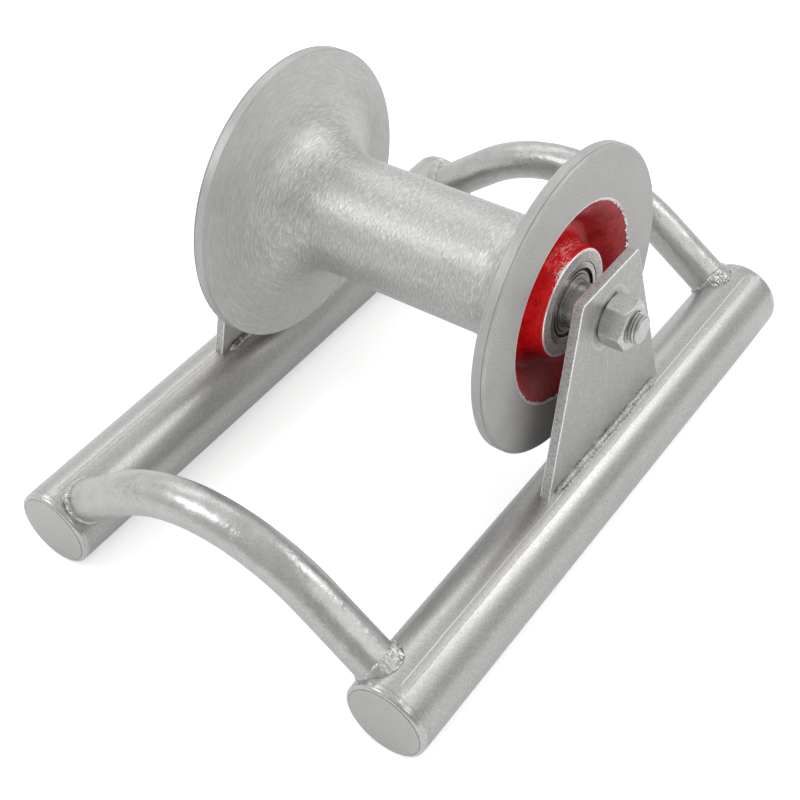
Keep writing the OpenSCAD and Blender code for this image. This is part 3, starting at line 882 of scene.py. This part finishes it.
def bracket(side, shift, name, node):
    """A tapered plate with rounded top corners, softened edges painted bright as a highlight, and a hole for
    the bolt.
    """
    half_top, half_foot = PLATE_TOP_W / 2, PLATE_FOOT_W / 2
    thick = PLATE_OUT - PLATE_IN
    inner = side * PLATE_IN
    bm = bmesh.new()
    corners = [bm.verts.new((AXLE.x + x, inner, z)) for x, z in (
        (shift + half_foot, PLATE_FOOT_Z), (half_top, PLATE_TOP),
        (-half_top, PLATE_TOP), (shift - half_foot, PLATE_FOOT_Z),
    )]
    bm.faces.new(corners)
    bmesh.ops.bevel(
        bm, geom=corners[1:3], offset=PLATE_CORNER, offset_type="OFFSET", segments=5, profile=0.5,
        affect="VERTICES", material=-1,
    )
    grown = bmesh.ops.extrude_face_region(bm, geom=list(bm.faces))["geom"]
    bmesh.ops.translate(
        bm, vec=(0, side * thick, 0), verts=[g for g in grown if isinstance(g, bmesh.types.BMVert)])
    bm.normal_update()
    for face in bm.faces:
        face.material_index = 0 if abs(face.normal.y) > 0.9 else 1
    rims = [e for e in bm.edges if {f.material_index for f in e.link_faces} == {0, 1}]
    rims = [e for e in rims if any(v.co.z > PLATE_FOOT_Z + MM for v in e.verts)]
    softened(bm, rims, PLATE_EDGE, 2)
    circles = []
    for y in (inner, inner + side * thick):
        level = [f for f in bm.faces if abs(f.calc_center_median().y - y) < SAME_PLANE]
        face = max(level, key=lambda f: f.calc_area())
        border = list(face.edges)
        bmesh.ops.delete(bm, geom=[face], context="FACES_ONLY")
        place = Matrix.Translation((AXLE.x, y, AXLE.z)) @ Matrix.Rotation(radians(90), 4, "X")
        ring = bmesh.ops.create_circle(
            bm, cap_ends=False, radius=HOLE_R, segments=HOLE_STEPS, matrix=place)["verts"]
        circle = [e for e in bm.edges if all(v in ring for v in e.verts)]
        bmesh.ops.triangle_fill(bm, edges=border + circle, use_beauty=True, use_dissolve=False)
        circles += circle
    bmesh.ops.bridge_loops(bm, edges=circles)
    bmesh.ops.recalc_face_normals(bm, faces=bm.faces)
    piece(name, bm, "frame", [plate_finish, edge_finish, arris_highlight_finish], [node])


def foot_bead(side, face_y, outwards, shift, seed):
    """A thin rough bead in the corner between a plate's face and its skid."""
    y = side * (face_y + outwards * FOOT_BEAD_OUT)
    z = SKID_R + sqrt(SKID_R ** 2 - (abs(y) - SKID_Y) ** 2)
    stations = []
    for i in range(BEAD_STATIONS + 1):
        x = AXLE.x + shift + FOOT_BEAD_LEN * (i / BEAD_STATIONS - 0.5)
        near_end = min(i, BEAD_STATIONS - i) / 5
        size = (min(1, 0.25 + 0.75 * near_end)
                * (1 + 0.3 * lumps((x, 0, 0), 3 * MM, seed) + 0.12 * sin(x / FOOT_RIPPLE)))
        sway = 0.35 * MM * lumps((x, 0, 0), 6 * MM, seed + 7)
        turn = Matrix.Rotation(radians(90), 4, "Y")
        stations.append(Matrix.Translation((x, y + sway, z)) @ turn @ Matrix.Diagonal((size, size, 1, 1)))
    bm, _ = swept(FOOT_BEAD_R, BEAD_STEPS, stations)
    for v in bm.verts:
        v.co += Vector((0, 0.2, 0.2)) * MM * lumps(v.co, 1.2 * MM, seed + 2)
    return bm


def foot_welds():
    bm = bmesh.new()
    seed = 1
    for side, shift in ((-1, FOOT_SHIFT), (1, -FOOT_SHIFT)):
        for face_y, outwards in ((PLATE_OUT, 1), (PLATE_IN, -1)):
            merge(bm, foot_bead(side, face_y, outwards, shift, seed))
            seed += 1
    bmesh.ops.recalc_face_normals(bm, faces=bm.faces)
    piece("rough_bracket_welds", bm, "frame", [foot_weld_finish], ["bracket_welds"], 60)


# Axle bolt, nut and bushes

def hexagon(outline, height, low_chamfer):
    """A turned blank cut to a hexagon, with cones turned on its corners and its bevelled edges painted
    lighter as a highlight.
    """
    bm = turned(outline, HEX_STEPS)
    third = radians(60)
    for v in bm.verts:
        radius = v.co.xy.length
        if radius < HEX_FACE_R + 0.01 * MM:
            continue
        turn = atan2(v.co.y, v.co.x) % third - third / 2
        flat = min(radius, HEX_FLATS / 2 / cos(turn))
        drop = (flat - HEX_FACE_R) * tan(HEX_CHAMFER)
        low = drop if low_chamfer else 0
        v.co = (v.co.x * flat / radius, v.co.y * flat / radius, height - drop if v.co.z > height / 2 else low)
    bmesh.ops.remove_doubles(bm, verts=bm.verts, dist=HEX_MERGE)
    bm.normal_update()
    sharp = [e for e in bm.edges if len(e.link_faces) == 2 and e.calc_face_angle(0) > radians(18)]
    softened(bm, sharp, HEX_BEVEL, 1)
    return bm


def axle_nut():
    height = NUT_OUT - PLATE_OUT
    bore = THREAD_R - THREAD_DEPTH + 0.15 * MM
    bm = hexagon([
        (bore + 0.9 * MM, 0), (HEX_FACE_R, 0), (HEX_CORNER_R, HEX_CONE), (HEX_CORNER_R, height - HEX_CONE),
        (HEX_FACE_R, height), (bore + 0.9 * MM, height), (bore, height - 0.6 * MM), (bore, 0.6 * MM),
    ], height, True)
    moved(bm, Matrix.Translation((0, 0, PLATE_OUT)))
    finishes = [zinc_finish, corner_highlight_finish]
    piece("chamfered_axle_nut", on_axle(bm, -1), "frame", finishes, ["axle_nut"], 30)


def thread(low, high):
    """A screw thread between two heights, its tip faced off and chamfered."""
    crest, root = THREAD_R, THREAD_R - THREAD_DEPTH
    profile = [(crest, 0), (crest, 0.25), (root, 0.55), (root, 0.7), (crest, 1)]
    turns = ceil((high - low) / THREAD_PITCH) + 2
    bm = bmesh.new()
    start = low - THREAD_PITCH
    verts, edges = row(bm, [(r, 0, start + THREAD_PITCH * p) for r, p in profile])
    bmesh.ops.spin(bm, geom=verts + edges, cent=(0, 0, 0), axis=(0, 0, 1),
                   dvec=(0, 0, THREAD_PITCH / THREAD_STEPS), angle=2 * pi * turns,
                   steps=THREAD_STEPS * turns)
    bmesh.ops.remove_doubles(bm, verts=bm.verts, dist=MERGE)
    # Faces in the thread's roots take the third finish, a painted shade
    for face in bm.faces:
        face.material_index = 2 if face.calc_center_median().xy.length < root + 0.2 * THREAD_DEPTH else 0
    for height, way in ((low, -1), (high, 1)):
        bmesh.ops.bisect_plane(
            bm, geom=list(bm.verts) + list(bm.edges) + list(bm.faces), dist=SAME_POINT,
            plane_co=(0, 0, height), plane_no=(0, 0, way), clear_outer=True, clear_inner=False,
        )
    for v in bm.verts:
        radius = v.co.xy.length
        cone = THREAD_R - BOLT_CHAMFER + (high - v.co.z)
        if radius > cone:
            v.co.x, v.co.y = v.co.x * cone / radius, v.co.y * cone / radius
    bmesh.ops.holes_fill(bm, edges=bm.edges, sides=0)
    bmesh.ops.recalc_face_normals(bm, faces=bm.faces)
    return bm


def axle_bolt():
    """Bolt with a hexagon head on the left, a shank through the bearings and a thread past the nut."""
    height = HEAD_OUT - PLATE_OUT
    head = hexagon([
        (0, 0), (HEX_CORNER_R, 0), (HEX_CORNER_R, height - HEX_CONE), (HEX_FACE_R, height), (0, height),
    ], height, False)
    bm = on_axle(moved(head, Matrix.Translation((0, 0, PLATE_OUT))), 1)
    shank_end = (PLATE_OUT + NUT_OUT) / 2
    shank = turned([(0, -PLATE_OUT), (THREAD_R, -PLATE_OUT), (THREAD_R, shank_end), (0, shank_end)])
    merge(bm, on_axle(shank, -1))
    merge(bm, on_axle(thread(shank_end, BOLT_TIP), -1))
    finishes = [zinc_finish, corner_highlight_finish, root_shade_finish]
    piece("threaded_axle_bolt", bm, "frame", finishes, ["axle_bolt"], 30)


def spacer_bush(side, name, node):
    bm = turned(eased([
        (BUSH_BORE_R, ROLLER_END, 0.2 * MM), (BUSH_R, ROLLER_END, 0.4 * MM),
        (BUSH_R, PLATE_IN, 0.4 * MM), (BUSH_BORE_R, PLATE_IN, 0.2 * MM),
    ]))
    piece(name, on_axle(bm, side), "frame", [bush_finish], [node])


# The bearings

def seated(bm, side):
    """Puts a shape drawn about a bearing's middle in its seat."""
    return on_axle(moved(bm, Matrix.Translation((0, 0, ROLLER_END - BEARING_W / 2))), side)


def sharp_points(points):
    return [(r, z, 0) for r, z in points]


def bearing(side, name):
    """Both rings with their races, and the two pressed shields."""
    half = BEARING_W / 2
    low_turn = degrees(acos((PITCH_R - INNER_SHOULDER_R) / RACE_R))
    race = sharp_points(arc((PITCH_R, 0), RACE_R, 180 + low_turn, 180 - low_turn, 12))
    inner = turned(eased(
        [(BEARING_BORE_R, -half, 0.5 * MM), (INNER_SHOULDER_R, -half, 0.3 * MM)] + race
        + [(INNER_SHOULDER_R, half, 0.3 * MM), (BEARING_BORE_R, half, 0.5 * MM)]), BEARING_STEPS)
    piece(f"ground_{name}_inner_ring", seated(inner, side), "frame", [ring_finish],
          [f"{name}_inner_ring"])
    top_turn = degrees(acos((RING_SHOULDER_R - PITCH_R) / RACE_R))
    race = sharp_points(arc((PITCH_R, 0), RACE_R, top_turn, -top_turn, 12))
    outer = turned(eased(
        [(RING_OUT_R, -half, 0.6 * MM), (RING_OUT_R, half, 0.4 * MM), (SHIELD_SEAT_R, half, 0.2 * MM),
         (SHIELD_SEAT_R, SHIELD_Z, 0), (RING_SHOULDER_R, SHIELD_Z, 0)] + race
        + [(RING_SHOULDER_R, -SHIELD_Z, 0), (SHIELD_SEAT_R, -SHIELD_Z, 0),
           (SHIELD_SEAT_R, -half, 0.2 * MM)]), BEARING_STEPS)
    piece(f"ground_{name}_outer_ring", seated(outer, side), "roller", [ring_finish],
          [f"{name}_outer_ring"])
    shields = bmesh.new()
    for end in (1, -1):
        lines = [[(r * MM, end * z * MM) for r, z in line] for line in SHIELD_LINES]
        merge(shields, striped(lines, BEARING_STEPS))
    # The shields' second and fourth lines are grooves in painted shade
    piece(f"pressed_{name}_shields", seated(shields, side), "roller",
          [shield_finish, groove_shade_finish, shield_finish, groove_shade_finish], [f"{name}_bearing_shields"])


# The roller

def shell_zones():
    """The shell's section from its middle out to one end and back, one open line per finish."""
    rim_y = ROLLER_END - RIM_W
    flare_top = BARREL_R + FLARE_R
    lift = (flare_top - FLANGE_R) * sin(FLANGE_SLOPE)
    flare_y = rim_y - (FLARE_R - lift) / cos(FLANGE_SLOPE)
    slope = degrees(FLANGE_SLOPE)
    barrel = [(BARREL_R, flare_y * i / 8) for i in range(8)]
    barrel += arc((flare_top, flare_y), FLARE_R, 180, 90 + slope, 24)
    barrel += beside(FLANGE_R, rim_y, (-0.7, -0.07), (-0.5, -0.03))
    rim = barrel[-1:] + beside(FLANGE_R, rim_y, (-0.2, 0.12), (-0.05, 0.35), (0, 0.7))
    rim += beside(FLANGE_R, ROLLER_END, (0, -1.1), (-0.08, -0.75), (-0.7, -0.1), (-0.95, 0))
    face = rim[-1:] + beside(FLANGE_R, ROLLER_END, (-1.3, 0))
    face += beside(RECESS_R, ROLLER_END, (0.9, 0), (0.7, 0))
    # The recess's edge bevel is painted bright as a highlight
    edge = face[-1:] + beside(RECESS_R, ROLLER_END, (0.3, 0), (0, -0.25))
    recess, flank = recess_line()
    recess = edge[-1:] + recess
    # The boss's lip takes the arris finish, a painted highlight
    lip = flank[-1:] + beside(BOSS_R, ROLLER_END, (-0.45, -0.08), (-0.9, 0))
    boss = lip[-1:] + beside(SEAT_R, ROLLER_END, (0.4, 0), (0.2, 0))
    seat = [boss[-1], (SEAT_R, ROLLER_END - 0.2 * MM), (SEAT_R, ROLLER_END - BEARING_W)]
    seat += [(BORE_R, ROLLER_END - BEARING_W), (BORE_R, 0)]
    return [barrel, rim, face, edge, recess, flank, lip, boss, seat]


def recess_line():
    """The recess from its edge down the bulging wall into the valley, and from there up the boss."""
    edge = Vector((RECESS_R, ROLLER_END))
    valley = Vector((BOSS_R + BOSS_DRAFT + VALLEY_R, ROLLER_END - RECESS_DEPTH + VALLEY_R))
    span = edge - valley
    turn = atan2(span.y, span.x) - acos(VALLEY_R / span.length)
    foot = valley + VALLEY_R * Vector((cos(turn), sin(turn)))
    middle = (edge + foot) / 2
    way = (edge - foot).normalized()
    reach = sqrt(RECESS_BULGE_R ** 2 - ((edge - foot).length / 2) ** 2)
    centre = middle + reach * Vector((way.y, -way.x))
    start = degrees(atan2(edge.y - centre.y, edge.x - centre.x))
    end = degrees(atan2(foot.y - centre.y, foot.x - centre.x))
    wall = arc(centre, RECESS_BULGE_R, start, end, 10)[1:]
    trough = arc(valley, VALLEY_R, degrees(turn), -180, 14)[1:]
    lip = beside(BOSS_R, ROLLER_END, (0.12, -0.9), (-0.1, -0.4))
    return wall + trough[:5], trough[4:] + lip


def roller_shell():
    lines = shell_zones()
    bm = striped(lines, ROLLER_STEPS)
    merge(bm, striped([[(r, -z) for r, z in line] for line in lines], ROLLER_STEPS))
    sewn(bm)
    finishes = [barrel_finish, rim_finish, face_finish, chipped_highlight_finish, dull_enamel_painted_shade, glossy_enamel_painted_light,
                arris_highlight_finish, boss_finish, seat_shade_finish]
    piece("turned_roller_shell", on_axle(bm, 1), "roller", finishes, ["roller_shell"])


def refinish(node, finish):
    """Gives a CAD node that stays a better material."""
    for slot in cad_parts[node].material_slots:
        slot.material = finish


skid_tube(1, "plain_left_skid_tube", left_skid_finish)
skid_tube(-1, "plain_right_skid_tube", right_skid_finish)
for end, end_name in ((-1, "front"), (1, "rear")):
    for side, side_name in ((1, "left"), (-1, "right")):
        end_cap(end, side, f"{end_name}_{side_name}_cap_disc", f"{end_name}_{side_name}_end_cap")
cross_tube(-1, "bent_front_cross_tube", "front_cross_tube")
cross_tube(1, "bent_rear_cross_tube", "rear_cross_tube")
cross_welds()
bracket(1, -FOOT_SHIFT, "sheared_left_bracket", "left_bracket")
bracket(-1, FOOT_SHIFT, "sheared_right_bracket", "right_bracket")
foot_welds()
axle_bolt()
axle_nut()
spacer_bush(1, "turned_left_bush", "left_spacer_bush")
spacer_bush(-1, "turned_right_bush", "right_spacer_bush")
bearing(1, "left")
bearing(-1, "right")
roller_shell()
for side_name in ("left", "right"):
    refinish(f"{side_name}_balls", ball_finish)
    refinish(f"{side_name}_ball_cage", cage_finish)
refinish("centre_spacer_tube", bush_finish)


# Studio

def studio_camera():
    """The camera at the photograph's angle, fitted to the object's outlines."""
    azimuth, elevation, roll = (radians(a) for a in CAMERA_TURN)
    ahead = Vector((-sin(azimuth) * cos(elevation), cos(azimuth) * cos(elevation), -sin(elevation)))
    level = Vector((cos(azimuth), sin(azimuth), 0))
    upright = level.cross(ahead)
    right = level * cos(roll) + upright * sin(roll)
    up = upright * cos(roll) - level * sin(roll)
    data = bpy.data.cameras.new("camera")
    data.sensor_width = SENSOR_W
    data.lens = CAMERA_LENS
    camera = placed("camera", data)
    turn = Matrix((right, up, -ahead)).transposed().to_4x4()
    camera.matrix_world = Matrix.Translation(CAMERA_PLACE) @ turn
    bpy.context.scene.camera = camera


def softbox(name, azimuth, elevation, width, height, power):
    """A lamp that looks at the roller from a direction round it, in degrees, metres and watts."""
    a, e = radians(azimuth), radians(elevation)
    way = Vector((cos(a) * cos(e), sin(a) * cos(e), sin(e)))
    data = bpy.data.lights.new(name, "AREA")
    data.shape = "RECTANGLE"
    data.size = width
    data.size_y = height
    data.energy = power
    lamp = placed(name, data)
    lamp.location = LAMP_AIM + way * LAMP_DISTANCE
    lamp.rotation_mode = "QUATERNION"
    lamp.rotation_quaternion = way.to_track_quat("Z", "Y")


def backdrop(tree, colour):
    """A background of one colour."""
    return fed(tree.nodes.new("ShaderNodeBackground"), {"Color": colour})


def mixed(share, first, second):
    """Mixes two shaders."""
    return fed(node_for("ShaderNodeMixShader", share), {0: share, 1: first, 2: second})


def ray_kinds(tree):
    """Whether a ray comes straight from the camera, and whether it was mirrored or passed through."""
    path = tree.nodes.new("ShaderNodeLightPath").outputs
    return path["Is Camera Ray"], maths("MAXIMUM", path["Is Glossy Ray"], path["Is Transmission Ray"])


def studio_world():
    """White to the eye, a pale tent to metal, and a soft grey light for the rest."""
    world = bpy.data.worlds.new("studio")
    bpy.context.scene.world = world
    world.use_nodes = True
    tree = world.node_tree
    light = tree.nodes["Background"]
    parts = split(tree.nodes.new("ShaderNodeTexCoord").outputs["Generated"])
    soft = blend_colour(ramp(size_of(parts[2]), 0.0, 0.6), grey(0.72), grey(0.9))
    feed(soft, light.inputs["Color"])
    back = 0.0
    for part, weight in zip(parts, TENT_WAY):
        back = plus(back, times(part, weight))
    tent = backdrop(tree, blend_colour(ramp(back, -0.7, 0.9), grey(0.42), grey(0.88)))
    seen, shine = ray_kinds(tree)
    inner = mixed(shine, light.outputs[0], tent)
    outer = mixed(seen, inner, backdrop(tree, WHITE))
    feed(outer, tree.nodes["World Output"].inputs["Surface"])


def studio_floor():
    """A pale floor that keeps the object's shadow and runs out to white."""
    finish, shader, _ = new_finish("pale_floor")
    seen, shine = ray_kinds(finish.node_tree)
    lift = maths("MAXIMUM", times(seen, 0.42), times(shine, 0.02))
    fed(shader, {"Base Color": FLOOR_WHITE, "Roughness": 0.9, "Specular IOR Level": 0,
                 "Emission Color": WHITE, "Emission Strength": lift})
    bm = bmesh.new()
    bmesh.ops.create_grid(bm, x_segments=1, y_segments=1, size=FLOOR_HALF)
    mesh = mesh_of(bm, "floor")
    mesh.materials.append(finish)
    placed("floor", mesh)


studio_camera()
studio_world()
studio_floor()
softbox("left_softbox", 133, 43, 0.45, 0.38, 2.3)
softbox("right_softbox", -38, 45, 0.4, 0.6, 2.5)
softbox("back_softbox", 56, 41, 1.0, 0.35, 1.5)
softbox("front_softbox", -94, 40, 1.2, 0.4, 1.7)

bpy.context.scene.view_settings.view_transform = "Standard"
